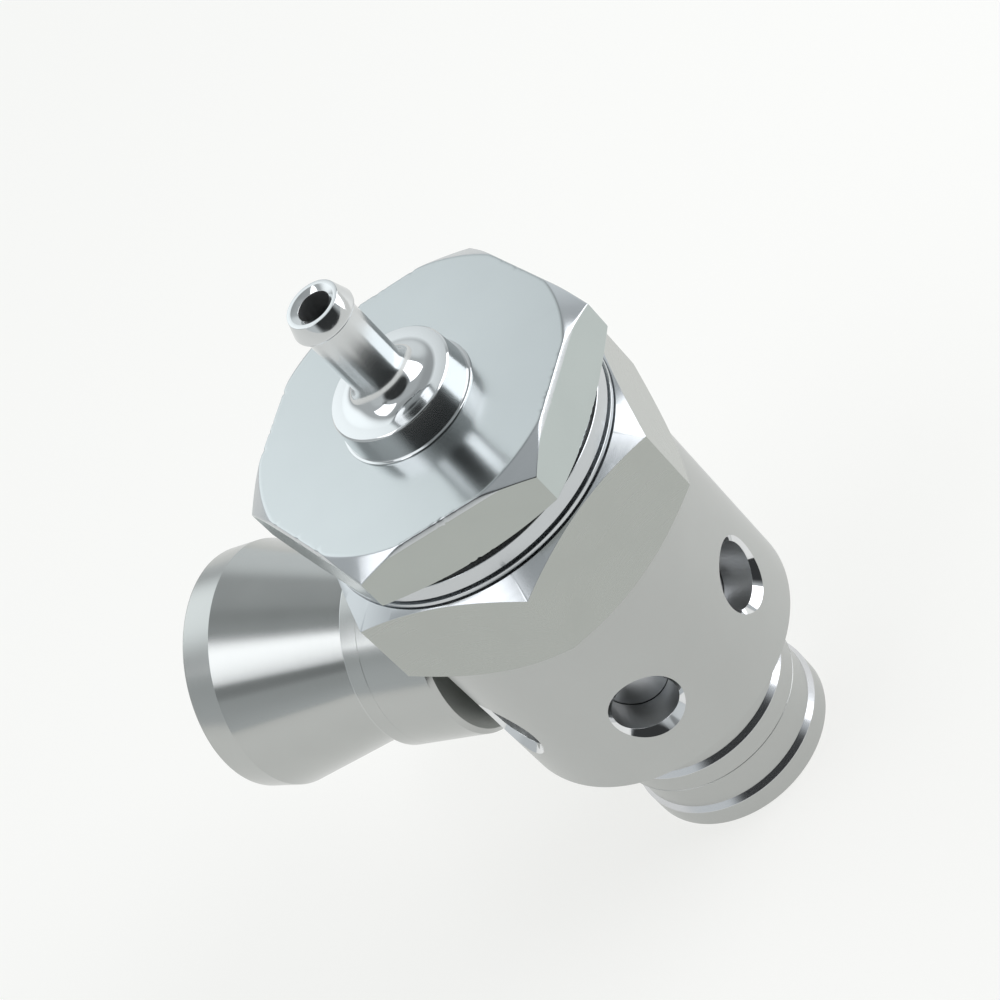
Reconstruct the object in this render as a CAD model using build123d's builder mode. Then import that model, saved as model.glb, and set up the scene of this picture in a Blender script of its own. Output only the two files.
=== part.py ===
from build123d import *
import os
from math import atan, cos, degrees, pi, radians, sin, tan

# Blow off valve. Boost lifts a spring loaded piston off its seat, and the air leaves through
# five vent holes and a side outlet with a trumpet.
# The origin is the centre of the inlet's end face. +Z runs up to the vacuum nipple, and the
# trumpet points along -X. Sizes are in millimetres.

# Inlet spigot, a round tail with two beads for a hose
inlet_bore_radius = 10.0
inlet_bore_chamfer = 0.4
spigot_length = 21.7
spigot_neck_radius = 12.75
spigot_end_chamfer = 0.25
bead_rise = 0.55
bead_land = 3.2
bead_ramp = 0.8
bead_pitch = 8.9

# Barrel, hexagon and the round end of the body that the cap screws into
barrel_radius = 19.9
barrel_length = 27.8
barrel_edge_radius = 0.2
body_hexagon_across_flats = 40.6
body_hexagon_length = 14.4
body_hexagon_under_angle = 55
body_hexagon_top_radius = 20.15
body_hexagon_chamfer_angle = 30
lower_groove_width = 0.35
lower_groove_depth = 0.75
ring_radius = 20.1
ring_width = 0.55
upper_groove_width = 0.45
upper_groove_depth = 0.95
body_collar_length = 2.21
body_collar_edge = 0.15

# Seat, piston bore and vent holes
floor_thickness = 2.8
seat_lip_width = 1.4
seat_lip_height = 0.8
piston_bore_radius = 15.0
vent_count = 5
vent_step_angle = 60
vent_height = 33.5
vent_radius = 4.2
vent_sink_radius = 5.2
vent_sink_angle = 90

# Hexagon cap
cap_hexagon_across_flats = 41.0
cap_hexagon_length = 7.9
cap_hexagon_turn = 25.6
cap_face_radius = 20.95
cap_chamfer_angle = 35.5
cap_flat_bevel_height = 0.7
cap_flat_bevel_depth = 0.25
cap_under_radius = 20.3
cap_under_angle = 25
cap_shoulder_radius = 17.8
cap_shoulder_height = 1.24
cap_thread_radius = 16.2
cap_recess_radius = 12.6
cap_crown_thickness = 4.3
nipple_hole_radius = 4.0

# Vacuum nipple with its boss
nipple_bore_radius = 2.1
nipple_bore_sink_radius = 2.85
nipple_bore_sink_depth = 0.4
nipple_stud_length = 4.0
nipple_base_radius = 8.8
nipple_base_height = 0.25
boss_lower_radius = 8.45
boss_upper_radius = 8.05
boss_height = 3.9
boss_edge = 0.2
stem_radius = 3.45
stem_fillet_radius = 3.0
stem_length = 12.8
barb_radius = 4.08
barb_land = 0.3
barb_tip_radius = 3.4
barb_cone_length = 2.15
nipple_seal_radius = 6.0
nipple_seal_wire = 0.6

# Piston and what moves with it
piston_clearance = 0.1
piston_length = 24.4
piston_edge = 0.4
piston_lift = 11.0
piston_top_gap = 0.3
piston_cup_radius = 12.0
piston_floor_thickness = 4.5
screw_boss_radius = 5.0
screw_boss_height = 4.9
face_seal_recess_radius = 12.7
face_seal_recess_depth = 1.7
face_seal_thickness = 2.0
retainer_radius = 8.0
retainer_thickness = 1.5
screw_radius = 2.45
screw_length = 9.2
screw_head_radius = 4.4
screw_head_height = 2.4
screw_socket_across_flats = 3.0
screw_socket_depth = 1.4
ring_groove_depth = 1.6
o_ring_groove_width = 2.0
guide_ring_height = 2.5
lower_o_ring_position = 15.0
upper_o_ring_setback = 2.1

# Spring and its seats
spring_wire_radius = 1.0
spring_radius = 10.6
spring_turns = 6
lower_washer_thickness = 0.8
upper_seat_thickness = 1.5
upper_seat_spigot_length = 2.0
upper_seat_bore_radius = 5.0
preload_shim_thickness = 1.0

# Side outlet: a collar screwed into the barrel, and the trumpet that plugs into the collar
outlet_height = 32.5
spot_face_depth = 0.5
port_radius = 6.5
adapter_thread_radius = 8.0
adapter_thread_length = 3.1
outlet_collar_radius = 13.6
outlet_collar_length = 9.3
outlet_collar_chamfer = 0.6
socket_radius = 10.5
socket_depth = 6.0
trumpet_flange_length = 2.4
trumpet_neck_radius = 11.2
trumpet_cone_radius = 16.4
trumpet_cone_length = 18.9
trumpet_land_length = 4.7
trumpet_mouth_radius = 16.0
trumpet_mouth_edge = 0.4
trumpet_wall = 1.0
trumpet_bore_radius = 7.5
trumpet_o_ring_position = 1.4
trumpet_o_ring_groove_width = 1.7
trumpet_o_ring_groove_depth = 1.2
grub_position = 4.0
grub_radius = 1.45
grub_length = 3.2
grub_groove_width = 2.4
grub_groove_depth = 0.6
grub_point_radius = 0.55
grub_socket_across_flats = 1.5
grub_socket_depth = 1.2

# Clearances
thread_clearance = 0.05
seat_clearance = 0.3
seal_clearance = 0.04
spring_clearance = 0.3
piston_ring_clearance = 0.07

# Heights up the valve, worked out from the sizes above
bead_radius = spigot_neck_radius + bead_rise
seat_floor = spigot_length + floor_thickness
seat_top = seat_floor + seat_lip_height
barrel_top = spigot_length + barrel_length
hexagon_top = barrel_top + body_hexagon_length
ring_bottom = hexagon_top + lower_groove_width
ring_top = ring_bottom + ring_width
body_collar_bottom = ring_top + upper_groove_width
body_top = body_collar_bottom + body_collar_length
cap_hexagon_bottom = body_top + cap_shoulder_height
cap_face = cap_hexagon_bottom + cap_hexagon_length
cap_recess_top = cap_face - cap_crown_thickness

# The face seal rests on the seat's lip, and the piston's underside stays clear of it.
face_seal_top = seat_top + face_seal_thickness
piston_bottom = face_seal_top - face_seal_recess_depth
piston_top = piston_bottom + piston_length
piston_radius = piston_bore_radius - piston_clearance
cup_floor = piston_bottom + piston_floor_thickness
cap_thread_bottom = piston_top + piston_lift + piston_top_gap
body_thread_bottom = cap_thread_bottom - seat_clearance
cap_thread_bore_radius = cap_thread_radius + 2 * thread_clearance

spring_bottom = cup_floor + lower_washer_thickness
shim_bottom = cap_recess_top - preload_shim_thickness
spring_top = shim_bottom - upper_seat_thickness

# The turned outlines are drawn half a section at a time, radius across and height up.
half_section = Plane.XZ


def corner_radius(across_flats):
    """Radius of the circle through the corners of a hexagon."""
    return across_flats / 2 / cos(pi / 6)


def turned_ring(inner_radius, outer_radius, bottom, height):
    """A plain turned ring on the valve's axis."""
    with BuildPart() as ring:
        with BuildSketch(Plane.XY.offset(bottom)):
            Circle(outer_radius)
            Circle(inner_radius, mode=Mode.SUBTRACT)
        extrude(amount=height)
    return ring


def o_ring(radius, wire_radius, height):
    """A round ring of round section, centred on the valve's axis at a height."""
    with BuildPart() as ring:
        with BuildSketch(half_section):
            with Locations((radius, height)):
                Circle(wire_radius)
        revolve(axis=Axis.Z)
    return ring


os.makedirs("parts", exist_ok=True)

# Planes and axis of the side outlet. Its half section is drawn with the distance out from the
# spot face across, and the radius up.
spot_face_x = -(barrel_radius - spot_face_depth)
outlet_seat = Plane(origin=(spot_face_x, 0, outlet_height), x_dir=(0, 1, 0), z_dir=(-1, 0, 0))
outlet_section = Plane(origin=(spot_face_x, 0, outlet_height), x_dir=(-1, 0, 0), z_dir=(0, 1, 0))
outlet_axis = Axis((spot_face_x, 0, outlet_height), (-1, 0, 0))

# The vents are spread on both sides of +X, opposite to the outlet.
first_vent_angle = -vent_step_angle * (vent_count - 1) / 2
vent_seats = []
for vent in range(vent_count):
    vent_angle = radians(first_vent_angle + vent * vent_step_angle)
    outward = Vector(cos(vent_angle), sin(vent_angle), 0)
    vent_seats.append(Plane(origin=outward * barrel_radius + Vector(0, 0, vent_height), z_dir=outward))

# Body: hexagon, turned outside, bores, vents and outlet
body_corner = corner_radius(body_hexagon_across_flats)
under_cone_rise = (body_corner - barrel_radius) / tan(radians(body_hexagon_under_angle))
top_chamfer_drop = (body_corner - body_hexagon_top_radius) * tan(radians(body_hexagon_chamfer_angle))
with BuildPart() as valve_body:
    with BuildSketch(Plane.XY.offset(barrel_top)):
        RegularPolygon(body_hexagon_across_flats / 2, 6, major_radius=False)
    extrude(amount=body_hexagon_length)
    with BuildSketch(half_section):
        with BuildLine():
            Polyline(
                (0, barrel_top),
                (barrel_radius, barrel_top),
                (body_corner, barrel_top + under_cone_rise),
                (body_corner, hexagon_top - top_chamfer_drop),
                (body_hexagon_top_radius, hexagon_top),
                (0, hexagon_top),
                close=True,
            )
        make_face()
    revolve(axis=Axis.Z, mode=Mode.INTERSECT)

    with BuildSketch(half_section) as turned_outside:
        with BuildLine():
            Polyline(
                (0, 0),
                (bead_radius - spigot_end_chamfer, 0),
                (bead_radius, spigot_end_chamfer),
                (bead_radius, bead_land),
                (spigot_neck_radius, bead_land + bead_ramp),
                (spigot_neck_radius, bead_pitch),
                (bead_radius, bead_pitch),
                (bead_radius, bead_pitch + bead_land),
                (spigot_neck_radius, bead_pitch + bead_land + bead_ramp),
                (spigot_neck_radius, spigot_length),
                (barrel_radius, spigot_length),
                (barrel_radius, barrel_top),
                (barrel_radius - lower_groove_depth, barrel_top),
                (barrel_radius - lower_groove_depth, ring_bottom),
                (ring_radius, ring_bottom),
                (ring_radius, ring_top),
                (barrel_radius - upper_groove_depth, ring_top),
                (barrel_radius - upper_groove_depth, body_collar_bottom),
                (barrel_radius, body_collar_bottom),
                (barrel_radius, body_top - body_collar_edge),
                (barrel_radius - body_collar_edge, body_top),
                (0, body_top),
                close=True,
            )
        make_face()
        barrel_corner = turned_outside.vertices().sort_by_distance((barrel_radius, spigot_length))[0]
        fillet(barrel_corner, barrel_edge_radius)
    revolve(axis=Axis.Z)

    with BuildSketch(half_section):
        with BuildLine():
            Polyline(
                (0, 0),
                (inlet_bore_radius + inlet_bore_chamfer, 0),
                (inlet_bore_radius, inlet_bore_chamfer),
                (inlet_bore_radius, seat_top),
                (inlet_bore_radius + seat_lip_width, seat_top),
                (inlet_bore_radius + seat_lip_width, seat_floor),
                (piston_bore_radius, seat_floor),
                (piston_bore_radius, body_thread_bottom),
                (cap_thread_bore_radius, body_thread_bottom),
                (cap_thread_bore_radius, body_top),
                (0, body_top),
                close=True,
            )
        make_face()
    revolve(axis=Axis.Z, mode=Mode.SUBTRACT)

    with Locations(*vent_seats):
        CounterSinkHole(vent_radius, vent_sink_radius, barrel_radius, vent_sink_angle)

    with BuildSketch(outlet_seat):
        Circle(outlet_collar_radius + seat_clearance)
    extrude(amount=2 * spot_face_depth, mode=Mode.SUBTRACT)
    with Locations(outlet_seat):
        CounterBoreHole(
            port_radius,
            adapter_thread_radius + thread_clearance,
            adapter_thread_length + thread_clearance,
            depth=barrel_radius - spot_face_depth,
        )
valve_body.part.label = "valve_body"
export_step(valve_body.part, "parts/valve_body.step")

# Cap: chamfered hexagon, shoulder that seats on the body, and a threaded skirt
cap_corner = corner_radius(cap_hexagon_across_flats)
cap_chamfer_drop = (cap_corner - cap_face_radius) * tan(radians(cap_chamfer_angle))
cap_under_rise = (cap_corner - cap_under_radius) * tan(radians(cap_under_angle))
cap_bevel_angle = degrees(atan(cap_flat_bevel_depth / cap_flat_bevel_height))
with BuildPart() as cap:
    with BuildSketch(Plane.XY.offset(cap_hexagon_bottom)):
        RegularPolygon(cap_hexagon_across_flats / 2, 6, major_radius=False, rotation=cap_hexagon_turn)
    extrude(amount=cap_hexagon_length - cap_flat_bevel_height)
    with BuildSketch(Plane.XY.offset(cap_face - cap_flat_bevel_height)):
        RegularPolygon(cap_hexagon_across_flats / 2, 6, major_radius=False, rotation=cap_hexagon_turn)
    extrude(amount=cap_flat_bevel_height, taper=cap_bevel_angle)
    with BuildSketch(half_section):
        with BuildLine():
            Polyline(
                (0, cap_hexagon_bottom),
                (cap_under_radius, cap_hexagon_bottom),
                (cap_corner, cap_hexagon_bottom + cap_under_rise),
                (cap_corner, cap_face - cap_chamfer_drop),
                (cap_face_radius, cap_face),
                (0, cap_face),
                close=True,
            )
        make_face()
    revolve(axis=Axis.Z, mode=Mode.INTERSECT)

    with BuildSketch(half_section):
        with BuildLine():
            Polyline(
                (0, cap_thread_bottom),
                (cap_thread_radius, cap_thread_bottom),
                (cap_thread_radius, body_top),
                (cap_shoulder_radius, body_top),
                (cap_shoulder_radius, cap_hexagon_bottom),
                (0, cap_hexagon_bottom),
                close=True,
            )
        make_face()
    revolve(axis=Axis.Z)

    with BuildSketch(Plane.XY.offset(cap_thread_bottom)):
        Circle(cap_recess_radius)
    extrude(amount=cap_recess_top - cap_thread_bottom, mode=Mode.SUBTRACT)
    with Locations((0, 0, cap_face)):
        Hole(nipple_hole_radius)
cap.part.label = "cap"
export_step(cap.part, "parts/cap.step")

# O-ring round the cap's shoulder, between the body's collar and the cap's hexagon
cap_o_ring_wire = cap_shoulder_height / 2 - seal_clearance
cap_o_ring_radius = cap_shoulder_radius + seal_clearance + cap_o_ring_wire
cap_o_ring = o_ring(cap_o_ring_radius, cap_o_ring_wire, body_top + cap_shoulder_height / 2)
cap_o_ring.part.label = "cap_o_ring"
export_step(cap_o_ring.part, "parts/cap_o_ring.step")

# Vacuum nipple: stud, base flange, boss, stem and barb turned from one bar
boss_top = cap_face + boss_height
stem_top = boss_top + stem_length
barb_cone_bottom = stem_top + barb_land
nipple_top = barb_cone_bottom + barb_cone_length
nipple_stud_radius = nipple_hole_radius - thread_clearance
with BuildPart() as vacuum_nipple:
    with BuildSketch(half_section):
        with BuildLine():
            Polyline(
                (stem_radius, boss_top + stem_fillet_radius),
                (stem_radius, stem_top),
                (barb_radius, stem_top),
                (barb_radius, barb_cone_bottom),
                (barb_tip_radius, nipple_top),
                (nipple_bore_sink_radius, nipple_top),
                (nipple_bore_radius, nipple_top - nipple_bore_sink_depth),
                (nipple_bore_radius, cap_face - nipple_stud_length),
                (nipple_stud_radius, cap_face - nipple_stud_length),
                (nipple_stud_radius, cap_face),
                (nipple_base_radius, cap_face),
                (nipple_base_radius, cap_face + nipple_base_height),
                (boss_lower_radius, cap_face + nipple_base_height),
                (boss_upper_radius, boss_top - boss_edge),
                (boss_upper_radius - boss_edge, boss_top),
                (stem_radius + stem_fillet_radius, boss_top),
            )
            RadiusArc(
                (stem_radius + stem_fillet_radius, boss_top),
                (stem_radius, boss_top + stem_fillet_radius),
                stem_fillet_radius,
            )
        make_face()
    revolve(axis=Axis.Z)
    with BuildSketch(Plane.XY.offset(cap_face)):
        Circle(nipple_seal_radius + nipple_seal_wire + 2 * seal_clearance)
        Circle(nipple_seal_radius - nipple_seal_wire - 2 * seal_clearance, mode=Mode.SUBTRACT)
    extrude(amount=2 * nipple_seal_wire + seal_clearance, mode=Mode.SUBTRACT)
vacuum_nipple.part.label = "vacuum_nipple"
export_step(vacuum_nipple.part, "parts/vacuum_nipple.step")

nipple_seal = o_ring(nipple_seal_radius, nipple_seal_wire, cap_face + nipple_seal_wire)
nipple_seal.part.label = "nipple_seal"
export_step(nipple_seal.part, "parts/nipple_seal.step")

# Preload shim and upper spring seat, stacked in the cap's recess
upper_seat_radius = cap_recess_radius - seat_clearance
preload_shim = turned_ring(upper_seat_bore_radius, upper_seat_radius, shim_bottom, preload_shim_thickness)
preload_shim.part.label = "preload_shim"
export_step(preload_shim.part, "parts/preload_shim.step")

spring_inner_radius = spring_radius - spring_wire_radius
with BuildPart() as upper_spring_seat:
    with BuildSketch(Plane.XY.offset(spring_top)):
        Circle(upper_seat_radius)
    extrude(amount=upper_seat_thickness)
    with BuildSketch(Plane.XY.offset(spring_top)):
        Circle(spring_inner_radius - spring_clearance)
    extrude(amount=-upper_seat_spigot_length)
    with Locations((0, 0, shim_bottom)):
        Hole(upper_seat_bore_radius)
upper_spring_seat.part.label = "upper_spring_seat"
export_step(upper_spring_seat.part, "parts/upper_spring_seat.step")

# Main spring, with both ends ground flat
spring_length = spring_top - spring_bottom
coil_height = spring_length - spring_wire_radius
with BuildPart() as main_spring:
    with BuildLine() as coil:
        Helix(
            pitch=coil_height / spring_turns,
            height=coil_height,
            radius=spring_radius,
            center=(0, 0, spring_bottom + spring_wire_radius / 2),
        )
    with BuildSketch(Plane(origin=coil.line @ 0, z_dir=coil.line % 0)):
        RegularPolygon(spring_wire_radius, 8)
    sweep(path=coil.line, is_frenet=True)
    with BuildSketch(Plane.XY.offset(spring_bottom)):
        Circle(spring_radius + 2 * spring_wire_radius)
    extrude(amount=spring_length, mode=Mode.INTERSECT)
main_spring.part.label = "main_spring"
export_step(main_spring.part, "parts/main_spring.step")

lower_spring_washer = turned_ring(
    screw_boss_radius + spring_clearance,
    piston_cup_radius - spring_clearance,
    cup_floor,
    lower_washer_thickness,
)
lower_spring_washer.part.label = "lower_spring_washer"
export_step(lower_spring_washer.part, "parts/lower_spring_washer.step")

# Piston: an open cup with ring grooves, a recess for the face seal and a tapped centre boss
lower_o_ring_height = piston_bottom + lower_o_ring_position
upper_o_ring_height = piston_top - upper_o_ring_setback
guide_ring_middle = (lower_o_ring_height + upper_o_ring_height) / 2
ring_groove_radius = piston_radius - ring_groove_depth
screw_seat = seat_top - retainer_thickness
tapped_hole_radius = screw_radius + thread_clearance
tapped_hole_top = screw_seat + screw_length + seat_clearance
with BuildPart() as piston:
    with BuildSketch(half_section):
        with BuildLine():
            Polyline(
                (face_seal_recess_radius, piston_bottom),
                (piston_radius - piston_edge, piston_bottom),
                (piston_radius, piston_bottom + piston_edge),
                (piston_radius, piston_top - piston_edge),
                (piston_radius - piston_edge, piston_top),
                (piston_cup_radius, piston_top),
                (piston_cup_radius, cup_floor),
                (screw_boss_radius, cup_floor),
                (screw_boss_radius, cup_floor + screw_boss_height),
                (0, cup_floor + screw_boss_height),
                (0, tapped_hole_top),
                (tapped_hole_radius, tapped_hole_top),
                (tapped_hole_radius, face_seal_top),
                (face_seal_recess_radius, face_seal_top),
                close=True,
            )
        make_face()
    revolve(axis=Axis.Z)
    with BuildSketch(half_section):
        with Locations((ring_groove_radius, lower_o_ring_height), (ring_groove_radius, upper_o_ring_height)):
            Rectangle(2 * ring_groove_depth, o_ring_groove_width, align=(Align.MIN, Align.CENTER))
        with Locations((ring_groove_radius, guide_ring_middle)):
            Rectangle(
                2 * ring_groove_depth,
                guide_ring_height + 2 * seal_clearance,
                align=(Align.MIN, Align.CENTER),
            )
    revolve(axis=Axis.Z, mode=Mode.SUBTRACT)
piston.part.label = "piston"
export_step(piston.part, "parts/piston.step")

piston_ring_inner = ring_groove_radius + seal_clearance
piston_ring_outer = piston_bore_radius - piston_ring_clearance
piston_o_ring_radius = (piston_ring_inner + piston_ring_outer) / 2
piston_o_ring_wire = (piston_ring_outer - piston_ring_inner) / 2
piston_o_ring_lower = o_ring(piston_o_ring_radius, piston_o_ring_wire, lower_o_ring_height)
piston_o_ring_lower.part.label = "piston_o_ring_lower"
export_step(piston_o_ring_lower.part, "parts/piston_o_ring_lower.step")

piston_o_ring_upper = o_ring(piston_o_ring_radius, piston_o_ring_wire, upper_o_ring_height)
piston_o_ring_upper.part.label = "piston_o_ring_upper"
export_step(piston_o_ring_upper.part, "parts/piston_o_ring_upper.step")

piston_guide_ring = turned_ring(
    piston_ring_inner, piston_ring_outer, guide_ring_middle - guide_ring_height / 2, guide_ring_height
)
piston_guide_ring.part.label = "piston_guide_ring"
export_step(piston_guide_ring.part, "parts/piston_guide_ring.step")

# Face seal, its retainer and the screw that clamps both to the piston
face_seal = turned_ring(
    tapped_hole_radius, face_seal_recess_radius - 2 * thread_clearance, seat_top, face_seal_thickness
)
face_seal.part.label = "face_seal"
export_step(face_seal.part, "parts/face_seal.step")

seal_retainer = turned_ring(tapped_hole_radius, retainer_radius, screw_seat, retainer_thickness)
seal_retainer.part.label = "seal_retainer"
export_step(seal_retainer.part, "parts/seal_retainer.step")

with BuildPart() as retainer_screw:
    with BuildSketch(Plane.XY.offset(screw_seat)):
        Circle(screw_radius)
    extrude(amount=screw_length)
    with BuildSketch(Plane.XY.offset(screw_seat)):
        Circle(screw_head_radius)
    extrude(amount=-screw_head_height)
    head_rim = retainer_screw.edges().filter_by(GeomType.CIRCLE).group_by(Axis.Z)[0]
    fillet(head_rim, screw_head_height / 3)
    with BuildSketch(Plane.XY.offset(screw_seat - screw_head_height)):
        RegularPolygon(screw_socket_across_flats / 2, 6, major_radius=False)
    extrude(amount=screw_socket_depth, mode=Mode.SUBTRACT)
retainer_screw.part.label = "retainer_screw"
export_step(retainer_screw.part, "parts/retainer_screw.step")

# Outlet adapter: threaded stub, collar against the spot face and a socket for the trumpet
socket_bottom = outlet_collar_length - socket_depth
grub_distance = socket_bottom + grub_position
grub_seat = Plane(
    origin=(spot_face_x - grub_distance, 0, outlet_height - outlet_collar_radius),
    x_dir=(1, 0, 0),
    z_dir=(0, 0, -1),
)
with BuildPart() as outlet_adapter:
    with BuildSketch(outlet_section):
        with BuildLine():
            Polyline(
                (-adapter_thread_length, port_radius),
                (-adapter_thread_length, adapter_thread_radius),
                (0, adapter_thread_radius),
                (0, outlet_collar_radius - outlet_collar_chamfer),
                (outlet_collar_chamfer, outlet_collar_radius),
                (outlet_collar_length, outlet_collar_radius),
                (outlet_collar_length, socket_radius),
                (socket_bottom, socket_radius),
                (socket_bottom, port_radius),
                close=True,
            )
        make_face()
    revolve(axis=outlet_axis)
    with Locations(grub_seat):
        Hole(grub_radius + thread_clearance, depth=outlet_collar_radius - socket_radius + grub_radius)
outlet_adapter.part.label = "outlet_adapter"
export_step(outlet_adapter.part, "parts/outlet_adapter.step")

# Trumpet: plug with an O-ring and a grub screw groove, flange, cone and rim, with a flared bore
plug_radius = socket_radius - 2 * thread_clearance
plug_end = socket_bottom + thread_clearance
flange_end = outlet_collar_length + trumpet_flange_length
cone_end = flange_end + trumpet_cone_length
mouth = cone_end + trumpet_land_length
o_ring_groove_middle = socket_bottom + trumpet_o_ring_position
o_ring_groove_radius = plug_radius - trumpet_o_ring_groove_depth
grub_groove_radius = plug_radius - grub_groove_depth
with BuildPart() as trumpet:
    with BuildSketch(outlet_section) as trumpet_section:
        with BuildLine():
            Polyline(
                (outlet_collar_length, trumpet_bore_radius),
                (plug_end, trumpet_bore_radius),
                (plug_end, plug_radius),
                (outlet_collar_length, plug_radius),
                (outlet_collar_length, outlet_collar_radius),
                (flange_end, outlet_collar_radius),
                (flange_end, trumpet_neck_radius),
                (cone_end, trumpet_cone_radius),
                (mouth, trumpet_mouth_radius),
                (mouth, trumpet_mouth_radius - trumpet_wall),
            )
            TangentArc(
                (outlet_collar_length, trumpet_bore_radius),
                (mouth, trumpet_mouth_radius - trumpet_wall),
                tangent=(1, 0),
            )
        make_face()
        rim_corner = trumpet_section.vertices().sort_by_distance((mouth, trumpet_mouth_radius))[0]
        fillet(rim_corner, trumpet_mouth_edge)
    revolve(axis=outlet_axis)
    with BuildSketch(outlet_section):
        with Locations((o_ring_groove_middle, o_ring_groove_radius)):
            Rectangle(
                trumpet_o_ring_groove_width,
                2 * trumpet_o_ring_groove_depth,
                align=(Align.CENTER, Align.MIN),
            )
        with Locations((grub_distance, grub_groove_radius)):
            Rectangle(grub_groove_width, 2 * grub_groove_depth, align=(Align.CENTER, Align.MIN))
    revolve(axis=outlet_axis, mode=Mode.SUBTRACT)
trumpet.part.label = "trumpet"
export_step(trumpet.part, "parts/trumpet.step")

trumpet_o_ring_wire = (socket_radius - o_ring_groove_radius) / 2 - seal_clearance
with BuildPart() as trumpet_o_ring:
    with BuildSketch(outlet_section):
        with Locations((o_ring_groove_middle, (socket_radius + o_ring_groove_radius) / 2)):
            Circle(trumpet_o_ring_wire)
    revolve(axis=outlet_axis)
trumpet_o_ring.part.label = "trumpet_o_ring"
export_step(trumpet_o_ring.part, "parts/trumpet_o_ring.step")

# Grub screw in the underside of the collar, with its point in the trumpet's groove
grub_tip = Plane(
    origin=(spot_face_x - grub_distance, 0, outlet_height - grub_groove_radius),
    x_dir=(1, 0, 0),
    z_dir=(0, 0, -1),
)
with BuildPart() as trumpet_grub_screw:
    with BuildSketch(grub_tip):
        Circle(grub_radius)
    extrude(amount=grub_length)
    point_rim = trumpet_grub_screw.edges().filter_by(GeomType.CIRCLE).group_by(Axis.Z)[-1]
    chamfer(point_rim, grub_radius - grub_point_radius)
    with BuildSketch(grub_tip.offset(grub_length)):
        RegularPolygon(grub_socket_across_flats / 2, 6, major_radius=False)
    extrude(amount=-grub_socket_depth, mode=Mode.SUBTRACT)
trumpet_grub_screw.part.label = "trumpet_grub_screw"
export_step(trumpet_grub_screw.part, "parts/trumpet_grub_screw.step")
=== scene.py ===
from math import acos, cos, exp, log, pi, radians, sin, tan

import bmesh
import bpy
from mathutils import Matrix, Vector, noise


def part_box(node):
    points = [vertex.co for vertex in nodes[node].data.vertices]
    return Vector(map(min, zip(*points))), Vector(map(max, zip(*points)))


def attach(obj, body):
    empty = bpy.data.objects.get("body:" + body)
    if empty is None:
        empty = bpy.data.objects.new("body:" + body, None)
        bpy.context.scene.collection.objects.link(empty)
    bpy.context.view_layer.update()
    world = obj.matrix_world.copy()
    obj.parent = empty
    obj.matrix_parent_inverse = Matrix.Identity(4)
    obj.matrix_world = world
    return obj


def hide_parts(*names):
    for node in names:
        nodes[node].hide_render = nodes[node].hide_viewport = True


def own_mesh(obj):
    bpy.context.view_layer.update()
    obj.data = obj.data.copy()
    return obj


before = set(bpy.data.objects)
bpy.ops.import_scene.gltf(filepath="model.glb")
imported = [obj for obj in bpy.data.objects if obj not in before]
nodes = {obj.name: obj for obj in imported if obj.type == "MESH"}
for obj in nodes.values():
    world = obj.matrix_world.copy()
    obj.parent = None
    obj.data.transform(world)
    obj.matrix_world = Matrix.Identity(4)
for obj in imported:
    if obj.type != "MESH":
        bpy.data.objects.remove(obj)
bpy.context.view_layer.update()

# Lengths below are in millimetres, and meshes are made in metres.
mm = 0.001

# Camera, placed as in the photograph, in metres. The picture is rolled, so the valve leans.
camera_place = Vector((0.2074, -0.2055, 0.3022))
camera_right = Vector((0.8221, 0.1883, -0.5374))
camera_up = Vector((0.1677, 0.8218, 0.5445))
camera_nearest = 0.01
# Focal length and sensor width of the camera, in millimetres
camera_lens = 115.92
camera_sensor = 36.0

# Inlet spigot, and the tool mark at the lower edge of its upper bead
inlet_bore_radius = 10.0
inlet_bore_edge = 0.4
spigot_end_chamfer = 0.25
spigot_length = 21.7
spigot_neck_radius = 12.75
bead_radius = 13.3
bead_land = 3.2
bead_ramp = 0.8
bead_pitch = 8.9
tool_mark_start = 0.05
tool_mark_width = 0.16
tool_mark_depth = 0.14

# Barrel, hexagon and round end of the body
barrel_radius = 19.9
barrel_top = 49.5
barrel_edge_radius = 0.2
body_hexagon_flat = 20.3
hexagon_under_slope = 1 / tan(radians(55))
hexagon_top = 63.9
hexagon_top_radius = 20.15
hexagon_chamfer_slope = tan(radians(30))
lower_groove_width = 0.35
lower_groove_depth = 0.75
ring_radius = 20.1
ring_height = 0.55
upper_groove_width = 0.45
upper_groove_depth = 0.95
body_collar_radius = barrel_radius
body_collar_height = 2.21
ring_bottom = hexagon_top + lower_groove_width
ring_top = ring_bottom + ring_height
collar_bottom = ring_top + upper_groove_width
body_top = collar_bottom + body_collar_height
seat_floor = 24.5
seat_top = 25.3
seat_lip_radius = 11.4
piston_bore_radius = 15.0
body_thread_bottom = 61.0
body_thread_radius = 16.3

# Vent holes, in a row round the barrel, and the side outlet
vent_angles = [-120, -60, 0, 60, 120]
vent_height = 33.5
vent_radius = 4.2
vent_sink_radius = 5.2
outlet_height = 32.5
spot_face_depth = 0.5
spot_face_radius = 13.9
port_radius = 6.5
port_thread_radius = 8.05
port_thread_length = 3.15
# How deep the cutters of these holes go, and how far they stand out past the surface
cut_depth = 9.0
vent_cut_overrun = 1.2
port_cut_overrun = 2.4

# Cap. Its handled edges are rolled over, more so at small nicks, which are spread at random.
cap_hexagon_flat = 20.5
cap_hexagon_turn = radians(25.6)
cap_gap = 1.24
cap_hexagon_bottom = body_top + cap_gap
cap_face = 76.6
cap_face_radius = 20.95
cap_chamfer_slope = tan(radians(35.5))
cap_bevel_height = 0.7
cap_bevel_depth = 0.25
cap_under_radius = 20.3
cap_under_slope = tan(radians(25))
cap_edge_roll = 0.05
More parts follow.
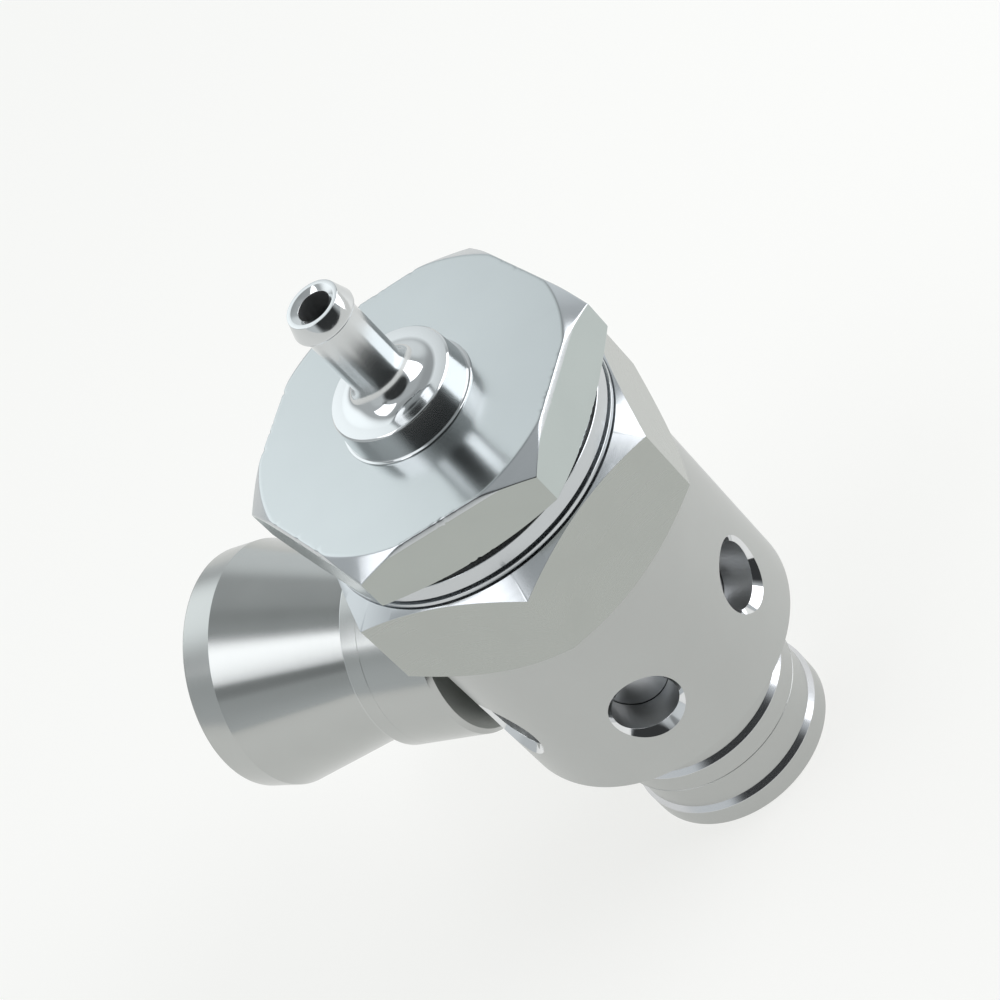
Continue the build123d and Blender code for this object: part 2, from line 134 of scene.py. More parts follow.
# The cap's rolled section starts this far in from the face's round edge, and it ends this far out
# from the shoulder.
cap_face_margin = 4.0
cap_shoulder_margin = 0.5
cap_nick_count = 48
cap_nick_start = 0.04
cap_nick_depth = 3.5
cap_nick_fade = 0.2
cap_shoulder_radius = 17.8
cap_thread_radius = 16.2
cap_thread_bottom = 61.3
cap_recess_radius = 12.6
cap_recess_top = 72.3
nipple_hole_radius = 4.0

# Vacuum nipple
nipple_stud_radius = 3.95
nipple_stud_length = 4.0
nipple_stud_bottom = cap_face - nipple_stud_length
nipple_base_radius = 8.8
nipple_base_height = 0.25
boss_lower_radius = 8.45
boss_upper_radius = 8.05
boss_height = 3.9
boss_top = cap_face + boss_height
boss_edge = 0.2
stem_radius = 3.45
stem_fillet_radius = 3.0
stem_fillet_steps = 14
stem_fillet_turned_from = radians(48)
stem_height = 12.8
stem_top = boss_top + stem_height
barb_radius = 4.08
barb_crest_height = 0.3
barb_cone_bottom = stem_top + barb_crest_height
barb_tip_radius = 3.4
barb_cone_height = 2.15
nipple_top = barb_cone_bottom + barb_cone_height
nipple_bore_radius = 2.1
nipple_bore_sink_radius = 2.85
nipple_bore_sink_depth = 0.4
seal_groove_inner = 5.32
seal_groove_outer = 6.68
seal_groove_depth = 1.24
nipple_steps = 192

# Side outlet, measured out from the spot face
adapter_stub_radius = 8.0
adapter_stub_length = 3.1
collar_radius = 13.6
collar_length = 9.3
collar_chamfer = 0.6
socket_radius = 10.5
socket_bottom = 3.3
plug_radius = 10.4
plug_end = 3.35
flange_end = 11.7
trumpet_neck_radius = 11.2
trumpet_cone_end = 30.6
trumpet_cone_radius = 16.4
trumpet_mouth = 35.3
trumpet_mouth_radius = 16.0
trumpet_mouth_edge = 0.4
trumpet_wall = 1.0
trumpet_bore_radius = 7.5
bell_steps = 40
# Grooves round the trumpet's plug: where each starts and ends, and its floor's radius
trumpet_o_ring_groove = (3.85, 5.55, 9.2)
trumpet_grub_groove = (6.1, 8.5, 9.8)

# Main spring
spring_wire_radius = 1.0
spring_radius = 10.6
spring_turns = 6
spring_seat_gap = 0.02
spring_steps = 72
spring_wire_sides = 20

# How far corners are rounded, from crisp to soft
hair_edge = 0.03
fine_edge = 0.04
crisp_edge = 0.05
flat_edge = 0.06
edge_break = 0.07
polished_edge = 0.08
eased_edge = 0.1
rolled_edge = 0.12
neck_edge = 0.15
round_edge = 0.2
thread_lead = 0.3
# Radius of a hexagon's upright edges
hexagon_edge_break = 0.1
# Largest share of a straight stretch that the rounding at one end of it takes
longest_rounding = 0.45

# Mesh density. Columns of a hexagon's mesh lie close together on both sides of its corners.
turn_steps = 360
cutter_steps = 120
corner_steps = 3
corner_angles = (-1.2, -0.5, -0.26, -0.17, -0.08, 0, 0.08, 0.17, 0.26, 0.5, 1.2)
# Faces that meet at a larger angle than this have a crisp edge between them.
sharp_angle = radians(32)
# Points closer than the first are joined, and edges shorter than the second are taken out.
weld_distance = 0.0005
shortest_edge = 0.0002
tiny = 1e-6

spot_face_x = -(barrel_radius - spot_face_depth)
valve_axis = Matrix.Identity(4)
outlet_axis = Matrix(
    ((0, 0, -1, spot_face_x), (0, 1, 0, 0), (1, 0, 0, outlet_height), (0, 0, 0, 1))
)


def add_camera():
    data = bpy.data.cameras.new("camera")
    data.lens = camera_lens
    data.sensor_width = camera_sensor
    data.clip_start = camera_nearest
    camera = bpy.data.objects.new("camera", data)
    bpy.context.scene.collection.objects.link(camera)
    right = camera_right.normalized()
    up = (camera_up - camera_up.dot(right) * right).normalized()
    back = right.cross(up)
    turn = Matrix((right, up, back)).transposed()
    camera.matrix_world = Matrix.Translation(camera_place) @ turn.to_4x4()
    bpy.context.scene.camera = camera


add_camera()


# Outlines

# A point of an outline is (radius, height, corner radius, finish), and the finish is that of the
# face that runs from the point to the next one.
def softened(outline):
    """A closed outline with each corner rounded, always by as many points."""
    points = []
    finishes = []
    count = len(outline)
    for i in range(count):
        corner = Vector(outline[i][:2])
        before = Vector(outline[i - 1][:2])
        after = Vector(outline[(i + 1) % count][:2])
        rounding = outline[i][2]
        back = before - corner
        ahead = after - corner
        reach = 0.0
        if rounding and back.length > tiny and ahead.length > tiny:
            turn = pi - back.angle(ahead, pi)
            reach = min(rounding * tan(turn / 2), longest_rounding * min(back.length, ahead.length))
        start = corner + (back.normalized() * reach if reach else Vector((0, 0)))
        end = corner + (ahead.normalized() * reach if reach else Vector((0, 0)))
        for step in range(corner_steps + 1):
            t = step / corner_steps
            points.append((1 - t) ** 2 * start + 2 * t * (1 - t) * corner + t**2 * end)
            finishes.append(outline[i][3])
    return points, finishes


def turned(name, outline_at, angles, place=valve_axis):
    """A closed solid made of the outline at each angle round an axis, which place puts on the valve."""
    mesh = bpy.data.meshes.new(name)
    work = bmesh.new()
    columns = []
    for angle in angles:
        points, finishes = softened(outline_at(angle))
        across = Vector((cos(angle), sin(angle), 0))
        column = []
        for point in points:
            spot = across * point.x + Vector((0, 0, point.y))
            column.append(work.verts.new((place @ spot) * mm))
        columns.append((column, finishes))
    for k, (column, finishes) in enumerate(columns):
        ahead, _ = columns[(k + 1) % len(columns)]
        for i in range(len(column)):
            j = (i + 1) % len(column)
            face = work.faces.new((column[i], ahead[i], ahead[j], column[j]))
            face.material_index = finishes[i]
            face.smooth = True
    bmesh.ops.remove_doubles(work, verts=work.verts, dist=weld_distance * mm)
    bmesh.ops.dissolve_degenerate(work, edges=work.edges, dist=shortest_edge * mm)
    bmesh.ops.recalc_face_normals(work, faces=work.faces)
    work.to_mesh(mesh)
    work.free()
    piece = bpy.data.objects.new(name, mesh)
    bpy.context.scene.collection.objects.link(piece)
    return piece


def even_angles(count):
    return [2 * pi * k / count for k in range(count)]


def hexagon_angles(turn, between=()):
    """Angles round a hexagon, closer together at its corners and with the ones named between them."""
    angles = []
    step = 2 * pi / turn_steps
    last = radians(corner_angles[-1])
    for corner in range(6):
        middle = turn + corner * pi / 3
        angles += [middle + radians(angle) for angle in corner_angles]
        side = round((pi / 3 - 2 * last) / step)
        span = (pi / 3 - 2 * last) / side
        angles += [middle + last + span * k for k in range(1, side)]
        angles += [middle + angle for angle in between]
    return sorted(angles)


def hexagon_radius(angle, turn, flat, rounding=hexagon_edge_break):
    """Distance from the axis to a hexagon with rounded corners."""
    from_corner = (angle - turn + pi / 6) % (pi / 3) - pi / 6
    straight = flat / cos(pi / 6 - abs(from_corner))
    middle = (flat - rounding) / cos(pi / 6)
    inside = rounding**2 - (middle * sin(from_corner)) ** 2
    if inside < 0:
        return straight
    return min(straight, middle * cos(from_corner) + inside**0.5)


def creased(piece):
    """Edges that stay crisp where faces meet at a large angle."""
    work = bmesh.new()
    work.from_mesh(piece.data)
    for edge in work.edges:
        if len(edge.link_faces) == 2:
            edge.smooth = edge.calc_face_angle(0) < sharp_angle
    work.to_mesh(piece.data)
    work.free()


def finished(piece, materials):
    """Materials unless the piece has them, crisp edges, and shading that keeps large faces flat."""
    if not piece.data.materials:
        for material in materials:
            piece.data.materials.append(material)
    creased(piece)
    weighted = piece.modifiers.new("weighted", "WEIGHTED_NORMAL")
    weighted.mode = "FACE_AREA"
    weighted.weight = 50
    weighted.keep_sharp = True


def stand_in(piece, node, body):
    """Shows the piece in place of a node, which it hides, and makes it move with its body."""
    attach(piece, body)
    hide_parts(node)


# Materials

# Noise stays near a half, so values are spread over its middle stretch.
noise_low = 0.25
noise_high = 0.75
# Rings and clouds in machined metal. The direction, in turns, makes reflections stretch across the
# rings, and the share is how much a cloud changes the tone.
ring_detail = 3
ring_roughness = 0.6
ring_direction = 0.25
cloud_scale = 0.16
cloud_detail = 4
cloud_roughness = 0.55
cloud_share = 0.02
# Grain of rubber and plastic
grain_scale = 4000
grain_spread = 0.06
grain_depth = 0.01


def axis_coordinate(tree, axis):
    """Millimetres along and out from an axis, added, so that it counts turning marks on any face."""
    new = tree.nodes.new
    link = tree.links.new
    place = new("ShaderNodeTexCoord")
    scaled = new("ShaderNodeVectorMath")
    scaled.operation = "SCALE"
    scaled.inputs["Scale"].default_value = 1 / mm
    link(place.outputs["Object"], scaled.inputs[0])
    moved = new("ShaderNodeVectorMath")
    moved.operation = "SUBTRACT"
    link(scaled.outputs[0], moved.inputs[0])
    moved.inputs[1].default_value = (0, 0, outlet_height if axis == "X" else 0)
    across = new("ShaderNodeVectorMath")
    across.operation = "MULTIPLY"
    link(moved.outputs[0], across.inputs[0])
    across.inputs[1].default_value = (0, 1, 1) if axis == "X" else (1, 1, 0)
    out = new("ShaderNodeVectorMath")
    out.operation = "LENGTH"
    link(across.outputs[0], out.inputs[0])
    split = new("ShaderNodeSeparateXYZ")
    link(moved.outputs[0], split.inputs[0])
    total = new("ShaderNodeMath")
    total.operation = "ADD"
    link(out.outputs["Value"], total.inputs[0])
    link(split.outputs[axis], total.inputs[1])
    return total.outputs[0], moved.outputs[0]


def mapped(tree, value, low, high):
    """A 0 to 1 value spread from low to high."""
    spread = tree.nodes.new("ShaderNodeMapRange")
    tree.links.new(value, spread.inputs["Value"])
    spread.inputs["From Min"].default_value = noise_low
    spread.inputs["From Max"].default_value = noise_high
    spread.inputs["To Min"].default_value = low
    spread.inputs["To Max"].default_value = high
    return spread.outputs["Result"]


def machined(name, color, roughness, spread, marks, depth, stretch=0.0, axis="Z"):
    """Cut metal: fine rings round an axis, uneven polish and a faint cloud in its tone.

    marks is rings for each millimetre, and depth is how deep they are, in millimetres.
    """
    material = bpy.data.materials.new(name)
    material.use_nodes = True
    tree = material.node_tree
    new = tree.nodes.new
    link = tree.links.new
    shader = tree.nodes["Principled BSDF"]
    shader.inputs["Metallic"].default_value = 1
    shader.inputs["Anisotropic"].default_value = stretch
    along, place = axis_coordinate(tree, axis)

    rings = new("ShaderNodeTexNoise")
    rings.noise_dimensions = "1D"
    rings.inputs["Scale"].default_value = marks
    rings.inputs["Detail"].default_value = ring_detail
    rings.inputs["Roughness"].default_value = ring_roughness
    link(along, rings.inputs["W"])

    clouds = new("ShaderNodeTexNoise")
    clouds.inputs["Scale"].default_value = cloud_scale
    clouds.inputs["Detail"].default_value = cloud_detail
    clouds.inputs["Roughness"].default_value = cloud_roughness
    link(place, clouds.inputs["Vector"])

    both = new("ShaderNodeMath")
    both.operation = "ADD"
    link(clouds.outputs[0], both.inputs[0])
    link(rings.outputs[0], both.inputs[1])
    half = new("ShaderNodeMath")
    half.operation = "MULTIPLY"
    half.inputs[1].default_value = 0.5
    link(both.outputs[0], half.inputs[0])
    polish = mapped(tree, half.outputs[0], roughness - spread, roughness + spread)
    link(polish, shader.inputs["Roughness"])

    tint = new("ShaderNodeMix")
    tint.data_type = "RGBA"
    tint.inputs["A"].default_value = (*(c * (1 - cloud_share) for c in color), 1)
    tint.inputs["B"].default_value = (*(c * (1 + cloud_share) for c in color), 1)
    link(mapped(tree, clouds.outputs[0], 0, 1), tint.inputs["Factor"])
    link(tint.outputs["Result"], shader.inputs["Base Color"])

    if depth:
        bump = new("ShaderNodeBump")
        bump.inputs["Strength"].default_value = 1
        bump.inputs["Distance"].default_value = depth * mm
        link(rings.outputs[0], bump.inputs["Height"])
        link(bump.outputs[0], shader.inputs["Normal"])
    if stretch:
        shader.inputs["Anisotropic Rotation"].default_value = ring_direction
        tangent = new("ShaderNodeTangent")
        tangent.direction_type = "RADIAL"
        tangent.axis = axis
        link(tangent.outputs[0], shader.inputs["Tangent"])
    return material


def rubber(name, color, roughness):
    """Rubber or plastic with a fine grain."""
    material = bpy.data.materials.new(name)
    material.use_nodes = True
    tree = material.node_tree
    shader = tree.nodes["Principled BSDF"]
    shader.inputs["Base Color"].default_value = (*color, 1)
    grain = tree.nodes.new("ShaderNodeTexNoise")
    grain.inputs["Scale"].default_value = grain_scale
    place = tree.nodes.new("ShaderNodeTexCoord")
    tree.links.new(place.outputs["Object"], grain.inputs["Vector"])
    polish = mapped(tree, grain.outputs[0], roughness - grain_spread, roughness + grain_spread)
    tree.links.new(polish, shader.inputs["Roughness"])
    bump = tree.nodes.new("ShaderNodeBump")
    bump.inputs["Distance"].default_value = grain_depth * mm
    tree.links.new(grain.outputs[0], bump.inputs["Height"])
    tree.links.new(bump.outputs[0], shader.inputs["Normal"])
    return material


aluminium = (0.475, 0.485, 0.475)
bright_aluminium = (0.62, 0.635, 0.64)
satin = machined(
    "satin_aluminium", aluminium,
    roughness=0.34, spread=0.03, marks=5, depth=0.0005, stretch=0.5,
)
bright = machined(
    "bright_cut", (0.74, 0.75, 0.76),
    roughness=0.06, spread=0.02, marks=6, depth=0.0003,
)
bored = machined(
    "bored_aluminium", (0.62, 0.63, 0.63),
    roughness=0.36, spread=0.06, marks=2.5, depth=0.02,
)
faced = machined(
    "faced_aluminium", (0.50, 0.53, 0.535),
    roughness=0.17, spread=0.02, marks=6, depth=0.0001, stretch=0.75,
)
milled = machined(
    "milled_aluminium", (0.418, 0.434, 0.412),
    roughness=0.27, spread=0.01, marks=5, depth=0.00005,
)
milled_cap = machined(
    "milled_cap", (0.41, 0.432, 0.41),
    roughness=0.17, spread=0.01, marks=5, depth=0.00005,
)
# Painted light: a paler, bluer copy of milled_cap for every second cap flat, standing in for a brighter
# reflection.
milled_painted_light = machined(
    "milled_painted_light", (0.485, 0.53, 0.52),
    roughness=0.17, spread=0.01, marks=5, depth=0.00005,
)
ramp_cut = machined(
    "ramp_cut", (0.66, 0.67, 0.69),
    roughness=0.17, spread=0.02, marks=5, depth=0.0002, stretch=0.5,
)
polished = machined(
    "polished_aluminium", bright_aluminium,
    roughness=0.06, spread=0.01, marks=4, depth=0.0002,
)
polished_turned = machined(
    "polished_stem", bright_aluminium,
    roughness=0.13, spread=0.01, marks=4, depth=0, stretch=0.85,
)
milled_chamfer = machined(
    "chamfer_cut", (0.55, 0.57, 0.585),
    roughness=0.20, spread=0.03, marks=5, depth=0.002, stretch=0.8,
)
outlet_turned = machined(
    "turned_outlet", aluminium,
    roughness=0.2, spread=0.02, marks=5, depth=0.0003, stretch=0.88, axis="X",
)
outlet_bright = machined(
    "bright_outlet", bright_aluminium,
    roughness=0.14, spread=0.02, marks=6, depth=0.0003, stretch=0.6, axis="X",
)
outlet_bored = machined(
    "bored_outlet", aluminium,
    roughness=0.28, spread=0.05, marks=3, depth=0.002, axis="X",
)
hard_anodised = machined(
    "piston_aluminium", (0.56, 0.57, 0.59),
    roughness=0.26, spread=0.03, marks=3, depth=0.001, stretch=0.8,
)
steel = machined(
    "steel", (0.50, 0.49, 0.47),
    roughness=0.24, spread=0.04, marks=5, depth=0.0005,
)
spring_steel = machined(
    "spring_steel", (0.40, 0.39, 0.38),
    roughness=0.26, spread=0.05, marks=8, depth=0.0005,
)
black_rubber = rubber("black_rubber", (0.018, 0.018, 0.019), 0.55)
oiled_rubber = rubber("oiled_rubber", (0.02, 0.02, 0.021), 0.2)
oiled_rubber.node_tree.nodes["Principled BSDF"].inputs["Coat Weight"].default_value = 1
guide_plastic = rubber("guide_plastic", (0.62, 0.58, 0.48), 0.45)


# Body

# Finishes, numbered in the order of the piece's materials, here and below
TURNED, BRIGHT, BORED, CHAMFER, FLAT, RAMP = range(6)


def body_outline(angle):
    flat_radius = hexagon_radius(angle, 0.0, body_hexagon_flat)
    under = barrel_top + max(0.0, flat_radius - barrel_radius) * hexagon_under_slope
    over = hexagon_top - max(0.0, flat_radius - hexagon_top_radius) * hexagon_chamfer_slope
    lower_groove = barrel_radius - lower_groove_depth
    upper_groove = barrel_radius - upper_groove_depth
    mark_bottom = bead_pitch + tool_mark_start
    return [
        (inlet_bore_radius + inlet_bore_edge, 0, edge_break, TURNED),
        (bead_radius - spigot_end_chamfer, 0, hair_edge, BRIGHT),
        (bead_radius, spigot_end_chamfer, hair_edge, TURNED),
        (bead_radius, bead_land, eased_edge, RAMP),
        (spigot_neck_radius, bead_land + bead_ramp, eased_edge, TURNED),
        (spigot_neck_radius, bead_pitch, crisp_edge, TURNED),
        (bead_radius, bead_pitch, hair_edge, TURNED),
        (bead_radius, mark_bottom, 0, TURNED),
        (bead_radius - tool_mark_depth, mark_bottom + tool_mark_width / 2, 0, TURNED),
        (bead_radius, mark_bottom + tool_mark_width, 0, TURNED),
        (bead_radius, bead_pitch + bead_land, eased_edge, RAMP),
        (spigot_neck_radius, bead_pitch + bead_land + bead_ramp, eased_edge, TURNED),
        (spigot_neck_radius, spigot_length, eased_edge, TURNED),
        (barrel_radius, spigot_length, barrel_edge_radius, TURNED),
        (barrel_radius, barrel_top, fine_edge, TURNED),
        (flat_radius, under, flat_edge, FLAT),
        (flat_radius, over, flat_edge, CHAMFER),
        (min(hexagon_top_radius, flat_radius), hexagon_top, edge_break, CHAMFER),
        (lower_groove, hexagon_top, hair_edge, CHAMFER),
        (lower_groove, ring_bottom, hair_edge, CHAMFER),
        (ring_radius, ring_bottom, eased_edge, CHAMFER),
        (ring_radius, ring_top, eased_edge, CHAMFER),
        (upper_groove, ring_top, hair_edge, CHAMFER),
        (upper_groove, collar_bottom, hair_edge, CHAMFER),
        (body_collar_radius, collar_bottom, rolled_edge, CHAMFER),
        (body_collar_radius, body_top, round_edge, CHAMFER),
        (body_thread_radius, body_top, edge_break, BORED),
        (body_thread_radius, body_thread_bottom, crisp_edge, BORED),
        (piston_bore_radius, body_thread_bottom, edge_break, BORED),
        (piston_bore_radius, seat_floor, eased_edge, BORED),
        (seat_lip_radius, seat_floor, eased_edge, BORED),
        (seat_lip_radius, seat_top, edge_break, BORED),
        (inlet_bore_radius, seat_top, edge_break, BORED),
        (inlet_bore_radius, inlet_bore_edge, crisp_edge, BRIGHT),
    ]


def cutter(name, outline, place):
    return turned(name, lambda angle: outline, even_angles(cutter_steps), place)


def make_body():
    """The body as one turned mesh, with the vents and the side outlet's seat cut from it."""
    body = turned("body_shell", body_outline, hexagon_angles(0.0))
    finishes = [satin, bright, bored, milled_chamfer, milled, ramp_cut]
    vent = [
        (0, -cut_depth, 0, BORED),
        (vent_radius, -cut_depth, 0, BORED),
        (vent_radius, vent_radius - vent_sink_radius, flat_edge, BRIGHT),
        (vent_sink_radius + vent_cut_overrun, vent_cut_overrun, 0, BRIGHT),
        (0, vent_cut_overrun, 0, BRIGHT),
    ]
    port = [
        (0, -cut_depth, 0, BORED),
        (port_radius, -cut_depth, 0, BORED),
        (port_radius, -port_thread_length, 0, BORED),
        (port_thread_radius, -port_thread_length, 0, BORED),
        (port_thread_radius, 0, crisp_edge, FLAT),
        (spot_face_radius, 0, crisp_edge, BRIGHT),
        (spot_face_radius, port_cut_overrun, 0, BRIGHT),
        (0, port_cut_overrun, 0, BRIGHT),
    ]
    cutters = [cutter("port_cutter", port, outlet_axis)]
    for number, angle in enumerate(vent_angles):
        outward = Matrix.Rotation(radians(angle), 4, "Z") @ Matrix.Rotation(pi / 2, 4, "Y")
        place = (
            Matrix.Translation((0, 0, vent_height))
            @ outward
            @ Matrix.Translation((0, 0, barrel_radius))
        )
        cutters.append(cutter(f"vent_cutter_{number}", vent, place))
    for piece in (body, *cutters):
        for finish in finishes:
            piece.data.materials.append(finish)
    for tool in cutters:
        cut = body.modifiers.new(tool.name, "BOOLEAN")
        cut.operation = "DIFFERENCE"
        cut.solver = "EXACT"
        cut.object = tool
    dressed = body.evaluated_get(bpy.context.evaluated_depsgraph_get())
    shape = bpy.data.meshes.new_from_object(dressed)
    body.modifiers.clear()
    body.data = shape
    shape.name = "body_shell"
    for tool in cutters:
        bpy.data.objects.remove(tool)
    finished(body, finishes)
    stand_in(body, "valve_body", "housing")


make_body()


# Cap
FACE, SIDE, RIM, INSIDE, PAINTED_LIGHT_SIDE = range(5)
# Points of the section on both sides of a rolled corner, in widths of its roll, and how many
# passes bring each onto the curve
roll_steps = (-8, -4, -2, -1, 0, 1, 2, 4, 8)
roll_passes = 4


def rolled(corners, lines, width):
    """Points round a section whose corners are rolled over, each with the number of its line.

    Each line of the section is a spot on it and the way that it faces. Away from the corners the
    points are on the lines, and near them they are on a curve that blends one line into the next.
    There are always as many points, whatever the section.
    """
    along = [0.0]
    for start, end in zip(corners, corners[1:]):
        along.append(along[-1] + (end - start).length)
    places = sorted(
        min(max(0.0, corner + step * width), along[-1]) for corner in along[1:-1] for step in roll_steps
    )
    points = []
    for place in places:
        k = max(i for i in range(len(corners) - 1) if along[i] <= place)
        length = along[k + 1] - along[k]
        spot = corners[k].lerp(corners[k + 1], (place - along[k]) / length if length else 0.0)
        for _ in range(roll_passes):
            weights = [exp(facing.dot(spot - start) / width) for start, facing in lines]
            mean = Vector((0, 0))
            for weight, (_, facing) in zip(weights, lines):
                mean += facing * (weight / sum(weights))
            spot = spot - mean * (width * log(sum(weights)) / mean.length_squared)
        points.append((spot, k))
    return points


def nick(angle):
    """How much more a handled edge is worn at an angle, as a share: none at most places."""
    spot = Vector((cos(angle), sin(angle), 0)) * cap_nick_count
    return cap_nick_depth * max(0.0, noise.noise(spot) - cap_nick_start)


def cap_outline(angle):
    side = hexagon_radius(angle, cap_hexagon_turn, cap_hexagon_flat)
    bevel_flat = cap_hexagon_flat - cap_bevel_depth
    bevel = hexagon_radius(angle, cap_hexagon_turn, bevel_flat)
    steep = cap_bevel_height / cap_bevel_depth * bevel_flat / bevel
    first = min(cap_face_radius, bevel)

    def top_at(radius):
        cone = (radius - cap_face_radius) * cap_chamfer_slope
        plane = (radius - bevel) * steep
        return cap_face - max(0.0, cone, plane)

    second = first
    if cap_face_radius < bevel:
        crossing = (bevel * steep - cap_face_radius * cap_chamfer_slope) / (steep - cap_chamfer_slope)
        second = min(max(crossing, first), side)
    under = cap_hexagon_bottom + max(0.0, side - cap_under_radius) * cap_under_slope
    corners = [
        Vector((cap_face_radius - cap_face_margin, cap_face)),
        Vector((first, cap_face)),
        Vector((second, top_at(second))),
        Vector((side, top_at(side))),
        Vector((side, under)),
        Vector((cap_under_radius, cap_hexagon_bottom)),
        Vector((cap_shoulder_radius + cap_shoulder_margin, cap_hexagon_bottom)),
    ]
    lines = [
        (Vector((0, cap_face)), Vector((0, 1))),
        (Vector((cap_face_radius, cap_face)), Vector((cap_chamfer_slope, 1)).normalized()),
        (Vector((bevel, cap_face)), Vector((steep, 1)).normalized()),
        (Vector((side, 0)), Vector((1, 0))),
        (Vector((cap_under_radius, cap_hexagon_bottom)), Vector((cap_under_slope, -1)).normalized()),
        (Vector((0, cap_hexagon_bottom)), Vector((0, -1))),
    ]
    # Only the stretch where the face runs into a flat's bevel is nicked, not the cone at a corner.
    worn = min(1.0, max(0.0, cap_face_radius - bevel) / cap_nick_fade)
    outside = rolled(corners, lines, cap_edge_roll * (1 + worn * nick(angle)))
    # Every second flat gets a paler, bluer colour: painted light, standing in for the brighter
    # reflection these flats show.
    painted_light_flat = (angle - cap_hexagon_turn + tiny) // (pi / 3) % 2
    flat = PAINTED_LIGHT_SIDE if painted_light_flat else SIDE
    finishes = [FACE, RIM, RIM, flat, SIDE, SIDE]
    return [
        (nipple_hole_radius, cap_face, 0, FACE),
        *((spot.x, spot.y, 0, finishes[line]) for spot, line in outside),
        (cap_shoulder_radius, cap_hexagon_bottom, crisp_edge, SIDE),
        (cap_shoulder_radius, body_top, crisp_edge, INSIDE),
        (cap_thread_radius, body_top, crisp_edge, INSIDE),
        (cap_thread_radius, cap_thread_bottom, thread_lead, INSIDE),
        (cap_recess_radius, cap_thread_bottom, eased_edge, INSIDE),
        (cap_recess_radius, cap_recess_top, eased_edge, INSIDE),
        (nipple_hole_radius, cap_recess_top, crisp_edge, INSIDE),
    ]


# The face's round edge meets a flat's bevel this far off the flat's middle.
cap_switch = acos((cap_hexagon_flat - cap_bevel_depth) / cap_face_radius)
cap = turned(
    "hexagon_cap",
    cap_outline,
    hexagon_angles(cap_hexagon_turn, (pi / 6 - cap_switch, pi / 6 + cap_switch)),
)
finished(cap, [faced, milled_cap, milled_chamfer, bored, milled_painted_light])
stand_in(cap, "cap", "housing")


# Vacuum nipple
POLISHED, DRILLED, STEM = range(3)


def nipple_outline(angle):
    return [
        (nipple_bore_radius, nipple_stud_bottom, crisp_edge, DRILLED),
        (nipple_stud_radius, nipple_stud_bottom, thread_lead, DRILLED),
        (nipple_stud_radius, cap_face, 0, DRILLED),
        (seal_groove_inner, cap_face, 0, DRILLED),
        (seal_groove_inner, cap_face + seal_groove_depth, 0, DRILLED),
        (seal_groove_outer, cap_face + seal_groove_depth, 0, DRILLED),
        (seal_groove_outer, cap_face, 0, POLISHED),
        (nipple_base_radius, cap_face, 0, POLISHED),
        (nipple_base_radius, cap_face + nipple_base_height, rolled_edge, POLISHED),
        (boss_lower_radius, cap_face + nipple_base_height, fine_edge, STEM),
        (boss_upper_radius, boss_top - boss_edge, polished_edge, POLISHED),
        (boss_upper_radius - boss_edge, boss_top, polished_edge, STEM),
        (stem_radius + stem_fillet_radius, boss_top, 0, POLISHED),
        *stem_fillet(),
        (stem_radius, boss_top + stem_fillet_radius, 0, STEM),
        (stem_radius, stem_top, flat_edge, POLISHED),
        (barb_radius, stem_top, rolled_edge, POLISHED),
        (barb_radius, barb_cone_bottom, round_edge, POLISHED),
        (barb_tip_radius, nipple_top, polished_edge, POLISHED),
        (nipple_bore_sink_radius, nipple_top, polished_edge, POLISHED),
        (nipple_bore_radius, nipple_top - nipple_bore_sink_depth, flat_edge, DRILLED),
    ]


def stem_fillet():
    """The quarter circle from the boss up into the stem."""
    points = []
    for step in range(1, stem_fillet_steps):
        turn = pi / 2 * step / stem_fillet_steps
        out = stem_radius + stem_fillet_radius * (1 - sin(turn))
        up = boss_top + stem_fillet_radius * (1 - cos(turn))
        points.append((out, up, 0, STEM if turn > stem_fillet_turned_from else POLISHED))
    return points


nipple = turned("polished_nipple", nipple_outline, even_angles(nipple_steps))
finished(nipple, [polished, bored, polished_turned])
stand_in(nipple, "vacuum_nipple", "housing")


# Side outlet
OUTSIDE, BORE, FLANGE_END = range(3)


def adapter_outline(angle):
    return [
        (port_radius, -adapter_stub_length, eased_edge, BORE),
        (adapter_stub_radius, -adapter_stub_length, thread_lead, BORE),
        (adapter_stub_radius, 0, 0, OUTSIDE),
        (collar_radius - collar_chamfer, 0, polished_edge, OUTSIDE),
        (collar_radius, collar_chamfer, polished_edge, OUTSIDE),
        (collar_radius, collar_length, crisp_edge, OUTSIDE),
        (socket_radius, collar_length, eased_edge, BORE),
        (socket_radius, socket_bottom, 0, BORE),
        (port_radius, socket_bottom, eased_edge, BORE),
    ]


def bell_points():
    """The trumpet's bore, from its mouth inwards: an arc that ends along the axis."""
    rise = trumpet_mouth_radius - trumpet_wall - trumpet_bore_radius
    run = trumpet_mouth - collar_length
    radius = (run**2 + rise**2) / (2 * rise)
    sweep = acos((radius - rise) / radius)
    points = []
    for step in range(bell_steps, -1, -1):
        turn = sweep * step / bell_steps
        out = trumpet_bore_radius + radius * (1 - cos(turn))
        points.append((out, collar_length + radius * sin(turn), 0, BORE))
    return points


